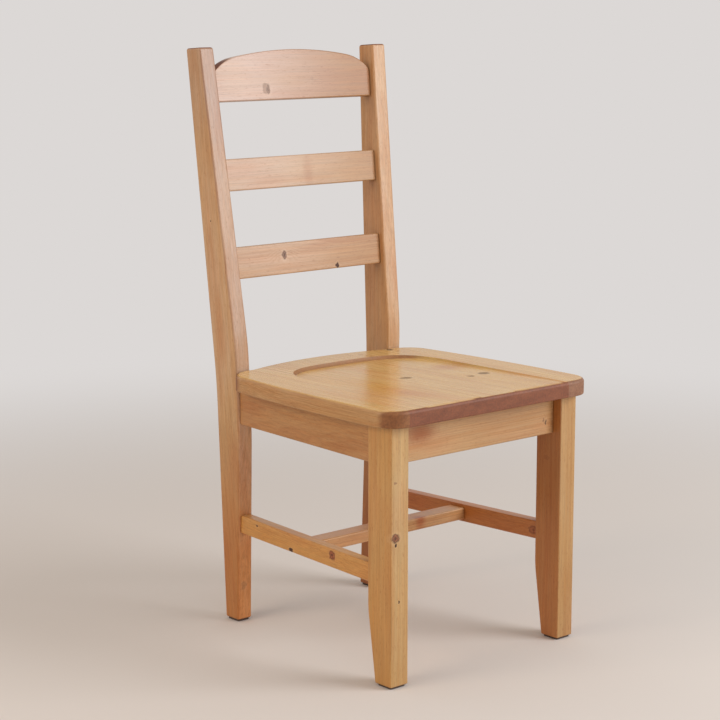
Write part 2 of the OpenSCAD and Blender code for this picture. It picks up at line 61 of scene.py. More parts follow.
# Front face of the front legs, in mm, and the clearance between the seat and the posts
LEG_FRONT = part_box("front_leg_left")[0].y / MM
SEAT_GAP = 0.3 * MM

# On the CAD pieces: how near a corner its eased edges end, how much they narrow a face, at least
# and at most, and how far from an end its own bevel is over
EDGE_REACH = 7 * MM
NARROWED_LEAST, NARROWED_MOST = 2 * MM, 9 * MM
END_BEVEL = 5 * MM

# An edge is eased where its faces turn by more than the first angle, and stays a crisp line in
# the shading past the second. The thinner rails and boards have finer edges than the legs.
EASED_FROM, CRISP_FROM = radians(38), radians(42)
RAIL_EDGE, BOARD_EDGE = 0.9, 0.85

# Steps along the curves of the crest rail and the seat
ARCH_STEPS, CORNER_STEPS, SIDE_STEPS, BOW_STEPS = 20, 8, 12, 10
SCOOP_STEPS, FLANK_STEPS, FLOOR_STEPS = 48, 14, 14

# The pine: mm between two growth rings, and mm that each letter of a finish's name moves its
# pattern along the grain, so that no two boards look the same
RING_WIDTH = 3.4
SHIFT = 97

# The stage, in metres: the floor's radius, and where it starts and ends fading to the backdrop
FLOOR_RADIUS = 40
FADE_START, FADE_END = 0.8, 2.6


# ---------- measures taken from the frame ----------

def points_of(node, turn=Matrix.Identity(3)):
    """The points of a CAD node, turned first where the piece leans."""
    return [turn @ v.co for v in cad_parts[node].data.vertices]


def sides_of(node):
    """The four sides of an upright, each as places (height, X or Y) up its length."""
    by_height = {}
    for p in points_of(node):
        by_height.setdefault(round(p.z, 4), []).append(p)
    width = max(max(p.x for p in level) - min(p.x for p in level)
                for level in by_height.values())
    left, right, front, rear = [], [], [], []
    for z, level in sorted(by_height.items()):
        x0, x1 = min(p.x for p in level), max(p.x for p in level)
        if x1 - x0 <= width - TINY:
            continue
        left.append((z, x0))
        right.append((z, x1))
        for sign, side in ((-1, front), (1, rear)):
            y = sign * max(sign * p.y for p in level)
            face = [p.x for p in level if abs(p.y - y) < 2 * TINY]
            if width - NARROWED_MOST < max(face) - min(face) < width - NARROWED_LEAST:
                side.append((z, y))
    return left, right, front, rear


def box_round(points):
    """The lowest and the highest corner of the box round these points."""
    points = list(points)
    return (Vector(min(p[i] for p in points) for i in range(3)),
            Vector(max(p[i] for p in points) for i in range(3)))


def signs_of(point, middle):
    """On which side of the middle a point lies, along each axis."""
    return tuple(1 if point[i] > middle[i] else -1 for i in range(3))


def place_at(side, z):
    """Where a side lies at height z."""
    if z <= side[0][0]:
        return side[0][1]
    for (z0, place0), (z1, place1) in zip(side, side[1:]):
        if z <= z1:
            return place0 + (place1 - place0) * (z - z0) / (z1 - z0)
    return side[-1][1]


def corners_of(node, along, turn=Matrix.Identity(3)):
    """The eight sharp corners that a piece would have without its eased edges, by the signs of
    their places. The piece runs along one axis."""
    points = points_of(node, turn)
    corners = {}
    for signs in product((-1, 1), repeat=3):
        end = signs[along]
        tip = max(end * p[along] for p in points)
        last = [p for p in points if end * p[along] > tip - EDGE_REACH]
        corner = Vector(sign * max(sign * p[i] for p in last) for i, sign in enumerate(signs))
        by_edge = [p for p in last if all(abs(p[i] - corner[i]) < EDGE_REACH
                                          for i in range(3) if i != along)]
        corner[along] = end * max(end * p[along] for p in by_edge)
        corners[signs] = corner
    return corners


# ---------- ways of working a piece of wood ----------

def pick(block):
    """Selects this block alone."""
    bpy.ops.object.select_all(action="DESELECT")
    block.select_set(True)
    bpy.context.view_layer.objects.active = block


def open_new(name):
    """Names a new primitive, moves its place into its mesh, and opens it in edit mode."""
    block = bpy.context.object
    block.name = block.data.name = name
    bpy.ops.object.transform_apply(location=True, rotation=True, scale=True)
    bpy.ops.object.mode_set(mode="EDIT")
    bpy.ops.mesh.select_mode(type="VERT")
    return block


def start_block(name, low, high):
    """A cube over the box from low to high, in edit mode."""
    bpy.ops.object.select_all(action="DESELECT")
    bpy.ops.mesh.primitive_cube_add(size=1, location=(low + high) / 2, scale=high - low)
    return open_new(name)


def cut_across(direction, places):
    """Cuts rings round the whole block at these places."""
    for place in places:
        bpy.ops.mesh.select_all(action="SELECT")
        bpy.ops.mesh.bisect(plane_co=direction * place, plane_no=direction)


def move_points(block, where):
    """Moves each point of the block to where(point)."""
    bpy.ops.mesh.select_all(action="DESELECT")
    mesh = bmesh.from_edit_mesh(block.data)
    for point in mesh.verts:
        step = where(point.co) - point.co
        if step.length > 1e-6:
            point.select_set(True)
            bpy.ops.transform.translate(value=step)
            point.select_set(False)


def bevel_edges(block, chosen, width, segments):
    """Rounds those edges for which chosen(start, end) is true."""
    bpy.ops.mesh.select_mode(type="EDGE")
    bpy.ops.mesh.select_all(action="DESELECT")
    mesh = bmesh.from_edit_mesh(block.data)
    for edge in mesh.edges:
        edge.select_set(chosen(edge.verts[0].co, edge.verts[1].co))
    bpy.ops.mesh.bevel(offset=width, segments=segments, affect="EDGES")
    bpy.ops.mesh.select_mode(type="VERT")


def apply_modifiers(block):
    """Makes the block's modifiers part of its mesh."""
    for modifier in list(block.modifiers):
        bpy.ops.object.modifier_apply(modifier=modifier.name)


def even_shading(block):
    """Smooth over the eased edges, and flat over the faces between them."""
    bpy.ops.object.shade_smooth_by_angle(angle=CRISP_FROM)
    even = block.modifiers.new("Flat faces", "WEIGHTED_NORMAL")
    even.keep_sharp = True
    apply_modifiers(block)


def ease_edges(block, width, segments=4):
    """Rounds the edges as a plane and sandpaper do, and leaves edit mode."""
    bpy.ops.object.mode_set(mode="OBJECT")
    eased = block.modifiers.new("Eased edges", "BEVEL")
    eased.width = width
    eased.segments = segments
    eased.limit_method = "ANGLE"
    eased.angle_limit = EASED_FROM
    apply_modifiers(block)
    even_shading(block)


def face_outwards():
    """Turns all faces of the open mesh outwards."""
    bpy.ops.mesh.select_all(action="SELECT")
    bpy.ops.mesh.normals_make_consistent(inside=False)


def copied(block, name):
    """A copy of the block, with its own mesh."""
    pick(block)
    bpy.ops.object.duplicate()
    copy = bpy.context.object
    copy.name = copy.data.name = name
    return copy


def mirrored(block, name):
    """A copy for the other side of the chair."""
    other = copied(block, name)
    other.scale.x = -1
    bpy.ops.object.transform_apply(location=False, rotation=False, scale=True)
    bpy.ops.object.mode_set(mode="EDIT")
    face_outwards()
    bpy.ops.object.mode_set(mode="OBJECT")
    even_shading(other)
    return other


def hand_over(piece, material, node):
    """Gives a piece its finish, and lets it ride on the chair and stand for its CAD node."""
    coat(piece, material)
    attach(piece, "root")
    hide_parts(node)


def coat(piece, material):
    """Covers the whole piece with one material."""
    piece.data.materials.clear()
    piece.data.materials.append(material)


# ---------- materials ----------

def linear(code):
    """An sRGB hex colour as linear RGBA."""
    parts = [int(code[i:i + 2], 16) / 255 for i in (1, 3, 5)]
    return tuple(c / 12.92 if c <= 0.04045 else ((c + 0.055) / 1.055) ** 2.4
                 for c in parts) + (1.0,)


def set_inputs(node, inputs):
    """Sets a node's inputs, each to a value or to the output that is to be linked to it."""
    for key, value in inputs.items():
        if isinstance(value, bpy.types.NodeSocket):
            node.id_data.links.new(value, node.inputs[key])
        else:
            node.inputs[key].default_value = value


def add_node(tree, kind, *values, out=0, sockets=(), **settings):
    """Adds a node with its settings, and gives back one of its outputs. The values go to its
    inputs in order, and those in sockets to the inputs that they name."""
    node = tree.nodes.new("ShaderNode" + kind)
    for name, value in settings.items():
        if name == "stops":
            set_stops(node.color_ramp.elements, value)
        else:
            setattr(node, name, value)
    set_inputs(node, {**dict(enumerate(values)), **dict(sockets)})
    return node.outputs[out]


def set_stops(elements, stops):
    """Gives a colour ramp its stops, each a position and a hex colour or a grey level."""
    while len(elements) < len(stops):
        elements.new(1)
    for element, (position, colour) in zip(elements, stops):
        element.position = position
        element.color = linear(colour) if isinstance(colour, str) else (colour,) * 3 + (1,)


def start_material(name):
    """A new material, the way to add a node to it, and its shader."""
    material = bpy.data.materials.new(name)
    material.use_nodes = True
    tree = material.node_tree
    return material, partial(add_node, tree), tree.nodes["Principled BSDF"]


# Settings of a Mix node that blends two colours, or that tints the first with the second, and of
# a Map Range node with soft ends
BLEND = {"data_type": "RGBA", "out": 2}
TINT = {**BLEND, "blend_type": "MULTIPLY"}
SOFT = {"interpolation_type": "SMOOTHSTEP"}

# Kinds of knot: colours of the heart, the flesh and the rim, then of the wood just round it
DARK_KNOT = ("#1f0c04", "#4c2812", "#321706", "#dcb888")
BROWN_KNOT = ("#4c2a17", "#8a5638", "#5a3420", "#dcb68a")
RED_KNOT = ("#5a2612", "#985634", "#6a3219", "#c4804f")
GREY_KNOT = ("#4f372d", "#85675a", "#54392e", "#dfc3ae")


def at(x, behind, z, size, look=DARK_KNOT, strength=1.0):
    """A knot, or a patch of one colour: a stain, or painted shade, sheen or reflection. It lies at
    X, at a distance behind the front of the legs and at a height, in mm. Its half sizes are in mm
    too, and 0 goes right through."""
    return (x, LEG_FRONT + behind, z), size, look, strength


# By default the faces turned to X are tinted warmer and a little darker: painted shade on the side
# faces.
def timber(name, grain, pith, tone, knots=(), stains=(), wave=12, contrast=0.3, gloss=0.34,
           streaks=0.45, end_from=0.45, end=None, faces=((X, "#fff6e4"),), fine=None):
    """Planed wood under satin lacquer, or bare where its gloss is 0.6, with its grain along a
    direction. Growth rings run round a pith at (across, across) mm in the pattern's own frame, so
    faces show lines and flames and the ends show arcs. Streaks and mottling run along the grain,
    and knots bend the rings. The faces turned along a direction of faces are tinted its colour,
    from one height to another if it gives them: painted light and shade, and painted sheen, for
    how the lamps fall on each face. The patches it is given are real stains, or painted shade,
    sheen and reflections. End grain near the place in fine was sanded smoother, so it stays
    lighter. The eye gets a warm, low sheen that breaks up at the fibres."""
    tones = bpy.context.scene.chair_tones
    grain = Vector(grain).normalized()
    material, add, shader = start_material(name)

    def clouds(place, size, detail=2.0, roughness=0.55, out="Fac"):
        """A cloudy pattern, its clouds of this size in mm along each axis."""
        place = add("VectorMath", place, [1 / s for s in size], operation="MULTIPLY")
        return add("TexNoise", out=out, sockets={"Vector": place, "Scale": 1.0, "Detail": detail,
                                                 "Roughness": roughness})

    def scattered(place, size, reach):
        """A place moved about by up to half of reach."""
        wild = add("VectorMath", clouds(place, size, out="Color"), (0.5, 0.5, 0.5),
                   operation="SUBTRACT")
        return add("VectorMath", wild, reach, place, operation="MULTIPLY_ADD")

    def distance_to(centre, size):
        """Distance from a centre as a share of the half sizes. A size of 0 goes right through."""
        apart = add("VectorMath", rough_place, centre, operation="SUBTRACT")
        apart = add("VectorMath", apart, [1 / s if s else 0 for s in size], operation="MULTIPLY")
        return add("VectorMath", apart, operation="LENGTH", out="Value")

    def turned_to(direction):
        """How squarely a face is turned along a direction, either way."""
        facing = add("VectorMath", normal, direction, operation="DOT_PRODUCT", out="Value")
        return add("Math", facing, operation="ABSOLUTE")

    place = add("TexCoord", out="Object")
    normal = add("TexCoord", out="Normal")
    along = add("Mapping", sockets={
        "Vector": place, "Scale": (1000, 1000, 1000),
        "Rotation": grain.rotation_difference(Z).to_euler(),
        "Location": (-pith[0], -pith[1], SHIFT * len(name))})
    millimetres = add("VectorMath", place, (1000, 1000, 1000), operation="MULTIPLY")
    height = add("VectorMath", millimetres, Z, operation="DOT_PRODUCT", out="Value")
    rough_place = scattered(millimetres, (5, 5, 5), (8, 8, 8))

    # rings, a little out of round and wandering along the board, which bend round the knots
    across = add("VectorMath", scattered(along, (60, 60, 460), (wave, wave, 0)), (1, 1, 0),
                 operation="MULTIPLY")
    radius = add("VectorMath", across, operation="LENGTH", out="Value")
    uneven = add("MapRange", clouds(add("CombineXYZ", radius), (14, 1, 1)), 0, 1, -7, 7)
    radius = add("Math", radius, uneven, operation="ADD")
    for centre, size, _, _ in knots:
        long_way = [s * (1 + 1.6 * abs(g)) for s, g in zip(size, grain)]
        swell = add("MapRange", distance_to(centre, long_way), 0.2, 3.6, max(size) * 1.3, 0,
                    interpolation_type="SMOOTHERSTEP")
        radius = add("Math", radius, swell, operation="ADD")
    line = add("Math", add("Math", radius, RING_WIDTH, operation="DIVIDE"), operation="FRACT")
    line = add("ValToRGB", line, stops=[(0.0, 0.05), (0.4, 0.15), (0.72, 0.7), (0.86, 1.0),
                                        (0.96, 0.7), (1.0, 0.05)])
    patch = add("MapRange", clouds(along, (30, 30, 260)), 0.32, 0.68, 0.25 * contrast, contrast,
                **SOFT)
    lines = add("Math", line, patch, operation="MULTIPLY")

    # fibres and resin flecks are drawn coarser than real ones, too fine to see from here
    fibre = clouds(along, (1.5, 1.5, 95), 3.0, 0.6)
    fleck = clouds(along, (1.4, 1.4, 9), 2.0, 0.6)
    streak = clouds(along, (5, 5, 330), 3.0, 0.5)
    mottle = clouds(along, (30, 30, 190))
    broad = clouds(along, (60, 60, 200), 1.0)

    # layers of colour over the spring wood, in order: strength, colour, and way of mixing
    layers = [
        (lines, tones.summer, TINT),
        (1.0, add("MapRange", fibre, 0.3, 0.7, 0.86, 1.14), TINT),
        (add("MapRange", fleck, 0.55, 0.75, 0, 0.5, **SOFT), linear("#c9a27c"), TINT)]
    for strength, pattern, stops in (
            (streaks, streak, [(0.42, "#ffffff"), (0.6, "#f4e2c8"), (0.72, "#e8cba4")]),
            (0.6, mottle, [(0.3, "#fff6ea"), (0.5, "#ffffff"), (0.72, "#f3e0cc")]),
            (0.6, broad, [(0.35, "#fff8e6"), (0.5, "#ffffff"), (0.68, "#fbeae6")])):
        layers.append((strength, add("ValToRGB", pattern, stops=stops), TINT))
    # patches of one colour: some are real stains, some are painted shade, sheen or reflections
    for centre, size, cloud, strength in stains:
        soft = add("MapRange", distance_to(centre, size), 0.2, 1.7, strength, 0, **SOFT)
        layers.append((soft, linear(cloud), TINT))
    # faces tinted by the way they turn, and by height where given: painted light and shade, and
    # painted sheen
    for direction, cloud, *heights in faces:
        turned = add("MapRange", turned_to(direction), 0.3, 0.9, **SOFT)
        if heights:
            from_there = add("MapRange", height, *heights, **SOFT)
            turned = add("Math", turned, from_there, operation="MULTIPLY")
        layers.append((turned, linear(cloud), TINT))

    # end grain drinks the lacquer and goes darker and redder, and its pores show,
    # drawn coarser than they are
    ends = add("MapRange", turned_to(grain), end_from, end_from + 0.35, **SOFT)
    if fine:
        sanded = add("MapRange", distance_to(*fine), 1.0, 1.2, 0.75, 1, **SOFT)
        ends = add("Math", ends, sanded, operation="MULTIPLY")
    pitted = clouds(millimetres, (3, 3, 3), 3.0)
    cut = end or tones.end_grain
    deep = [c * d for c, d in zip(cut, tones.end_dark)]
    cloudy = add("MapRange", clouds(millimetres, (26, 26, 12), 3.0), 0.35, 0.7, 0, 0.8, **SOFT)
    end_tone = add("Mix", cloudy, sockets={6: cut, 7: deep}, **BLEND)
    end_tone = add("Mix", add("Math", line, 0.3, operation="MULTIPLY"),
                   sockets={6: end_tone, 7: deep}, **BLEND)
    pores = add("MapRange", pitted, 0.3, 0.7, 0.78, 1.2)
    end_tone = add("Mix", 1.0, sockets={6: end_tone, 7: pores}, **TINT)
    layers.append((ends, end_tone, BLEND))

    # each knot: pale wood round it, then a rim, its flesh and its heart, crossed by fine cracks
    cracks = add("MapRange", pitted, 0.35, 0.65, 0.6, 1.3)
    dead = 0.0
    for centre, size, (heart, flesh, rim, halo), strength in knots:
        distance = distance_to(centre, size)
        round_it = add("MapRange", distance, 1.1, 2.0, 0.22 * strength, 0, **SOFT)
        body = add("ValToRGB", add("Math", distance, 1.6, operation="DIVIDE"),
                   stops=[(0.0, heart), (0.1, heart), (0.26, flesh), (0.4, flesh), (0.52, rim)])
        body = add("Mix", 1.0, sockets={6: body, 7: cracks}, **TINT)
        inside = add("MapRange", distance, 0.7, 1.3, strength, 0, **SOFT)
        layers += [(round_it, linear(halo), BLEND), (inside, body, BLEND)]
        dead = add("Math", dead, inside, operation="MAXIMUM")
    colour = tone
    for strength, layer, way in layers:
        colour = add("Mix", strength, sockets={6: colour, 7: layer}, **way)

    # the lacquer is duller along the fibres, on the ends and on the knots
    matte = add("MapRange", fibre, 0.2, 0.8, gloss - 0.04, gloss + 0.05)
    matte = add("Math", add("Math", ends, dead, operation="ADD"), 0.3, matte,
                operation="MULTIPLY_ADD")
    relief = add("Math", fibre, 0.6, add("Math", lines, -0.5, operation="MULTIPLY"),
                 operation="MULTIPLY_ADD")
    bump = add("Bump", sockets={"Height": relief, "Strength": 0.2, "Distance": 0.0003})
    set_inputs(shader, {"Base Color": colour, "Roughness": matte, "IOR": 1.5, "Normal": bump})
    return material


def plated_zinc(colour):
    """Screws: bright plating, a little cloudy and scuffed, so that the heads glint unevenly."""
    material, add, shader = start_material("zinc-plated steel screw")
    place = add("TexCoord", out="Object")
    cloud = add("TexNoise", sockets={"Vector": place, "Scale": 1 / (2.4 * MM), "Detail": 3.0})
    scuff = add("TexNoise", sockets={"Vector": place, "Scale": 1 / (0.4 * MM), "Detail": 2.0})
    plating = add("Mix", cloud, sockets={6: colour, 7: linear("#a9aba6")}, **BLEND)
    matte = add("MapRange", scuff, 0, 1, 0.22, 0.48)
    bump = add("Bump", sockets={"Height": scuff, "Strength": 0.15, "Distance": 0.0001})
    set_inputs(shader, {"Base Color": plating, "Metallic": 1.0, "Roughness": matte,
                        "Normal": bump})
    return material


def wool_felt(colour):
    """Foot pads: pressed wool, with tufts in two browns and a soft sheen at its edges."""
    material, add, shader = start_material("brown wool felt")
    tufts = add("TexNoise", sockets={"Vector": add("TexCoord", out="Object"),
                                     "Scale": 1 / (1.1 * MM), "Detail": 4.0, "Roughness": 0.7})
    browns = add("Mix", tufts, sockets={6: colour, 7: linear("#54433a")}, **BLEND)
    bump = add("Bump", sockets={"Height": tufts, "Strength": 0.6, "Distance": 0.0005})
    set_inputs(shader, {"Base Color": browns, "Roughness": 0.95, "Sheen Weight": 0.3,
                        "Normal": bump})
    return material


def matt_floor(floor, backdrop):
    """Painted floor: no gloss, so it takes the chair's soft shadow, and it fades to the backdrop
    where the camera sees it far away."""
    material, add, shader = start_material("matt pale floor")
    set_inputs(shader, {"Base Color": floor, "Roughness": 0.9})
    distance = add("VectorMath", add("TexCoord", out="Object"), operation="LENGTH", out="Value")
    far = add("MapRange", distance, FADE_START, FADE_END, **SOFT)
    share = add("Math", far, add("LightPath", out="Is Camera Ray"), operation="MULTIPLY")
    glow = add("Emission", backdrop, 1.0)
    surface = add("MixShader", share, shader.outputs[0], glow)
    set_inputs(material.node_tree.nodes["Material Output"], {"Surface": surface})
    return material


# ---------- settings ----------

def number(name, what, default, low, high, subtype="FACTOR", unit="NONE"):
    """A number setting between two limits."""
    return FloatProperty(name=name, description=what, default=default, min=low, max=high,
                         subtype=subtype, unit=unit)


def length(name, what, default, low, high):
    """A length setting, given in mm and kept in metres."""
    return number(name, what, default * MM, low * MM, high * MM, "DISTANCE", "LENGTH")


def tone(name, code, what=None):
    """A colour setting, given as an sRGB hex colour, of a spring wood if nothing else is said."""
    return FloatVectorProperty(name=name, description=what or "Spring wood of the " + name.lower(),
                               size=4, default=linear(code), min=0, max=1, subtype="COLOR")


class ChairWood(bpy.types.PropertyGroup):
    """Sizes of the eased edges and of the boards of the back."""
    ease: length("Eased edge", "Radius of the eased edges", 2.6, 0.5, 5)
    post_ease: length("Post edge", "Radius of the back posts' edges", 3.8, 0.5, 5)
    crest_corner: length("Crest corner", "Radius of the crest's top corners", 9, 1, 14)
    board_corner: length("Board corner", "Corner radius of the back's boards", 4, 1, 10)
    crown_radius: length("Crown radius", "Curve of the crest rail's middle", 700, 400, 2000)
    shoulder_radius: length("Shoulder radius", "Curve of the crest's shoulders", 75, 50, 400)
    shoulder_start: length("Shoulder start", "Where the shoulders begin", 120, 50, 140)
    rake: number("Rake", "Lean of the boards of the back", radians(7.4), 0, radians(12), "ANGLE",
                 "ROTATION")


class ChairTones(bpy.types.PropertyGroup):
    """Colours of the lacquered wood, and of the small parts under the seat."""
    post_left: tone("Left back post", "#eacfa7")
    post_right: tone("Right back post", "#c4a180")
    leg_left: tone("Left front leg", "#c1a172")
    leg_right: tone("Right front leg", "#b28c5d")
    crest: tone("Crest rail", "#c6ab9e")
    slat_middle: tone("Middle slat", "#c1a48c")
    slat_lower: tone("Lower slat", "#c0a084")
    apron_front: tone("Front apron", "#bf9b70")
    apron_side: tone("Side and back aprons", "#b58f65")
    # The stretchers are mirror copies: the left one's lighter tone is painted light from above, and
    # the right one's darker, redder tone is painted shade under the seat.
    stretcher_left: tone("Left stretcher", "#c5985b")
    stretcher_right: tone("Right stretcher", "#b67945")
    stretcher_cross: tone("Cross stretcher", "#c5996c")
    seat: tone("Seat boards", "#d5b275")
    block: tone("Blocks", "#d9b184", "Bare wood of the corner blocks")
    birch: tone("Dowels", "#e3cda2", "Birch of the dowels")
    summer: tone("Summer wood", "#dcb896", "Multiplies the spring wood on the darker ring lines")
    end_grain: tone("End grain", "#81492c", "Wood cut across the grain")
    end_left: tone("Left end grain", "#915e35", "End grain of the seat's left board")
    end_right: tone("Right end grain", "#8e644b", "End grain of the seat's right board")
    end_dark: tone("Dark end grain", "#ddd0c8", "Multiplies the darker patches of the end grain")
    felt: tone("Felt", "#3a2c24", "Felt of the foot pads")
    zinc: tone("Zinc", "#c3c5c4", "Plating of the screws")


class ChairSeat(bpy.types.PropertyGroup):
    """Sizes of the seat and its scoop."""
    widest: length("Widest place", "Y of the seat's widest place", LEG_FRONT + 95, LEG_FRONT,
                   LEG_FRONT + 200)
    side_radius: length("Side curve", "Radius of the long side curves", 2350, 1000, 5000)
    front_radius: length("Front corner", "Radius of the front corners", 38, 10, 60)
    rear_radius: length("Back corner", "Radius of the back corners", 48, 5, 54)
    top_ease: length("Top edge", "Round-over on the top edge", 6, 1, 8)
    under_ease: length("Lower edge", "Round-over on the lower edge", 2, 0.5, 4)
    bow: length("Back bow", "How far the back edge bows out", 23, 0, 40)
    bow_half: length("Bow half width", "Half the width of the bow", 147.5, 100, 170)
    scoop_half: length("Scoop half width", "Half the width of the scoop", 146, 100, 150)
    scoop_aside: length("Scoop offset", "Its middle, right of the seat's", 6, 0, 8)
    scoop_mid: length("Scoop middle", "Y where its sides start to curve in", LEG_FRONT + 215,
                      LEG_FRONT + 100, LEG_FRONT + 300)
    scoop_rear: length("Scoop rear length", "Length behind that place", 143, 80, 160)
    scoop_wall: length("Scoop wall", "Width of the coved wall", 5.5, 4, 20)
    deep: length("Depth at the back", "Depth of the scoop at the back", 6.2, 2, 12)
    shallow: length("Depth in front", "Depth of the leg channels", 1.2, 0, 4)
    pommel: length("Pommel", "Half the width of the rise in front", 38, 10, 80)
    scoop_flare: number("Scoop flare", "Widening towards the front", 0.03, 0, 0.05)
    scoop_round: number("Scoop roundness", "0.5 is squarish, and 1 an ellipse", 0.58, 0.5, 1)
    scoop_fall: number("Scoop fall", "Under 1, it grows shallow sooner", 0.85, 0.5, 2)


class ChairStage(bpy.types.PropertyGroup):
    """Floor, lights and camera."""
    floor: tone("Floor", "#d6d0cc", "Colour of the floor")
    backdrop: tone("Backdrop", "#dcd8d6", "Colour behind the floor")
    key: number("Key light", "Power of the large soft light", 80, 0, 1000, "POWER", "POWER")
    fill: number("Fill light", "Power of the light on the left", 26, 0, 1000, "POWER", "POWER")
    ambient: number("Ambient", "Strength of the light from all round", 0.58, 0, 2)
    camera_place: FloatVectorProperty(name="Camera place", description="Where the camera stands",
                                      default=(-2.1439, -2.3771, 1.0281), subtype="TRANSLATION")
    camera_turn: FloatVectorProperty(name="Camera turn", description="Which way it looks",
                                     default=(radians(79.783), 0, radians(-41.338)),
                                     subtype="EULER")
    lens: number("Lens", "Focal length on a 36 mm wide sensor, in mm", 100.36, 20, 300, "NONE",
                 "CAMERA")


# ---------- pieces ----------

def fitted_upright(node, name, ease):
    """A leg or post with the CAD node's tapers and bends and rounder edges."""
    low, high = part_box(node)
    middle = (low + high) / 2
    left, right, front, rear = sides_of(node)
    corners = corners_of(node, 2)
    block = start_block(name, low, high)
    heights = sorted({z for z, _ in front + rear})
    cut_across(Z, [z for z in heights if low.z + END_BEVEL < z < high.z - END_BEVEL])

    def where(point):
        if point.z > high.z - TINY:
            return corners[signs_of(point, middle)]
        return Vector((place_at(left if point.x < middle.x else right, point.z),
                       place_at(front if point.y < middle.y else rear, point.z), point.z))
    move_points(block, where)
    ease_edges(block, ease)
    return block


def fitted_bar(node, name, along, ease):
    """A rail whose ends meet their posts or legs as the CAD node's do."""
    low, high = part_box(node)
    middle = (low + high) / 2
    corners = corners_of(node, along)
    block = start_block(name, low, high)
    move_points(block, lambda point: corners[signs_of(point, middle)])
    ease_edges(block, ease)
    return block


class CHAIR_OT_posts(bpy.types.Operator):
    """Makes the two raked back posts."""
    bl_idname = "chair.posts"
    bl_label = "Back posts"

    def execute(self, context):
        wood, tones = context.scene.chair_wood, context.scene.chair_tones
        left = fitted_upright("back_post_left", "post_left", wood.post_ease)
        right = mirrored(left, "post_right")
        hand_over(left, timber(
            "pine post left", (0, 0.05, 1), (-60, 340), tones.post_left,
            knots=[at(-185, 391, 475, (4, 6, 6)), at(-186, 448, 675, (2.6, 2.6, 3.4)),
                   at(-155, 405, 63, (5, 0, 7), BROWN_KNOT, 0.3)],
            # The top of the post and a patch near it are tinted mauve-grey: a painted reflection of
            # the pale room. Its foot is darker: painted shade below the seat.
            stains=[at(0, 0, 960, (0, 0, 170), "#ebe6ea"),
                    at(-205, 424, 888, (0, 18, 24), "#e8dfe4"),
                    at(0, 0, 40, (0, 0, 240), "#f1c493")],
            # Front faces are tinted mauve, and greyer above the seat: painted sheen and reflection.
            # Outer faces are darker, and more golden towards the foot: painted shade.
            faces=[(Y, "#f0eaf3"), (Y, "#d8d2d8", 330, 450), (X, "#d8cdca"),
                   (X, "#f6f7e9", 450, 300)],
            contrast=0.25, streaks=0.5), "back_post_left")
        hand_over(right, timber(
            "pine post right", (0, 0.03, 1), (260, 60), tones.post_right,
            # Its foot is darker: painted shade below the seat.
            stains=[at(0, 0, 40, (0, 0, 240), "#d0a97d")],
            contrast=0.25, streaks=0.5), "back_post_right")
        return {"FINISHED"}


class CHAIR_OT_legs(bpy.types.Operator):
    """Makes the two front legs, tapered behind."""
    bl_idname = "chair.legs"
    bl_label = "Front legs"

    def execute(self, context):
        wood, tones = context.scene.chair_wood, context.scene.chair_tones
        left = fitted_upright("front_leg_left", "leg_left", wood.ease)
        right = mirrored(left, "leg_right")
        hand_over(left, timber(
            "pine leg left", Z, (-240, -420), tones.leg_left,
            knots=[at(-191, 0, 235.5, (7.5, 9, 7), BROWN_KNOT), at(-191, 0, 225, (2.4, 5, 3)),
                   at(-184, 0, 136, (1.8, 5, 2.4)),
                   at(-191, 0, 320, (3, 6, 1.8), BROWN_KNOT, 0.6),
                   at(-165, 3, 47, (2, 3, 3), DARK_KNOT, 0.6)],
            stains=[at(0, 0, 60, (0, 0, 150), "#fcf5ea")],
            # Its side faces are tinted warmer and darker: painted shade, as the light falls from
            # the front.
            faces=[(X, "#fff0d6")], contrast=0.12, streaks=0.4), "front_leg_left")
        hand_over(right, timber(
            "pine leg right", Z, (160, -500), tones.leg_right,
            knots=[at(164, 30, 300, (0, 6, 4), RED_KNOT, 0.3)],
            # Its side faces are tinted darker and redder: painted shade, where they stand in the
            # chair's shade.
            faces=[(X, "#ffdbbd")], contrast=0.15, streaks=0.5), "front_leg_right")
        return {"FINISHED"}


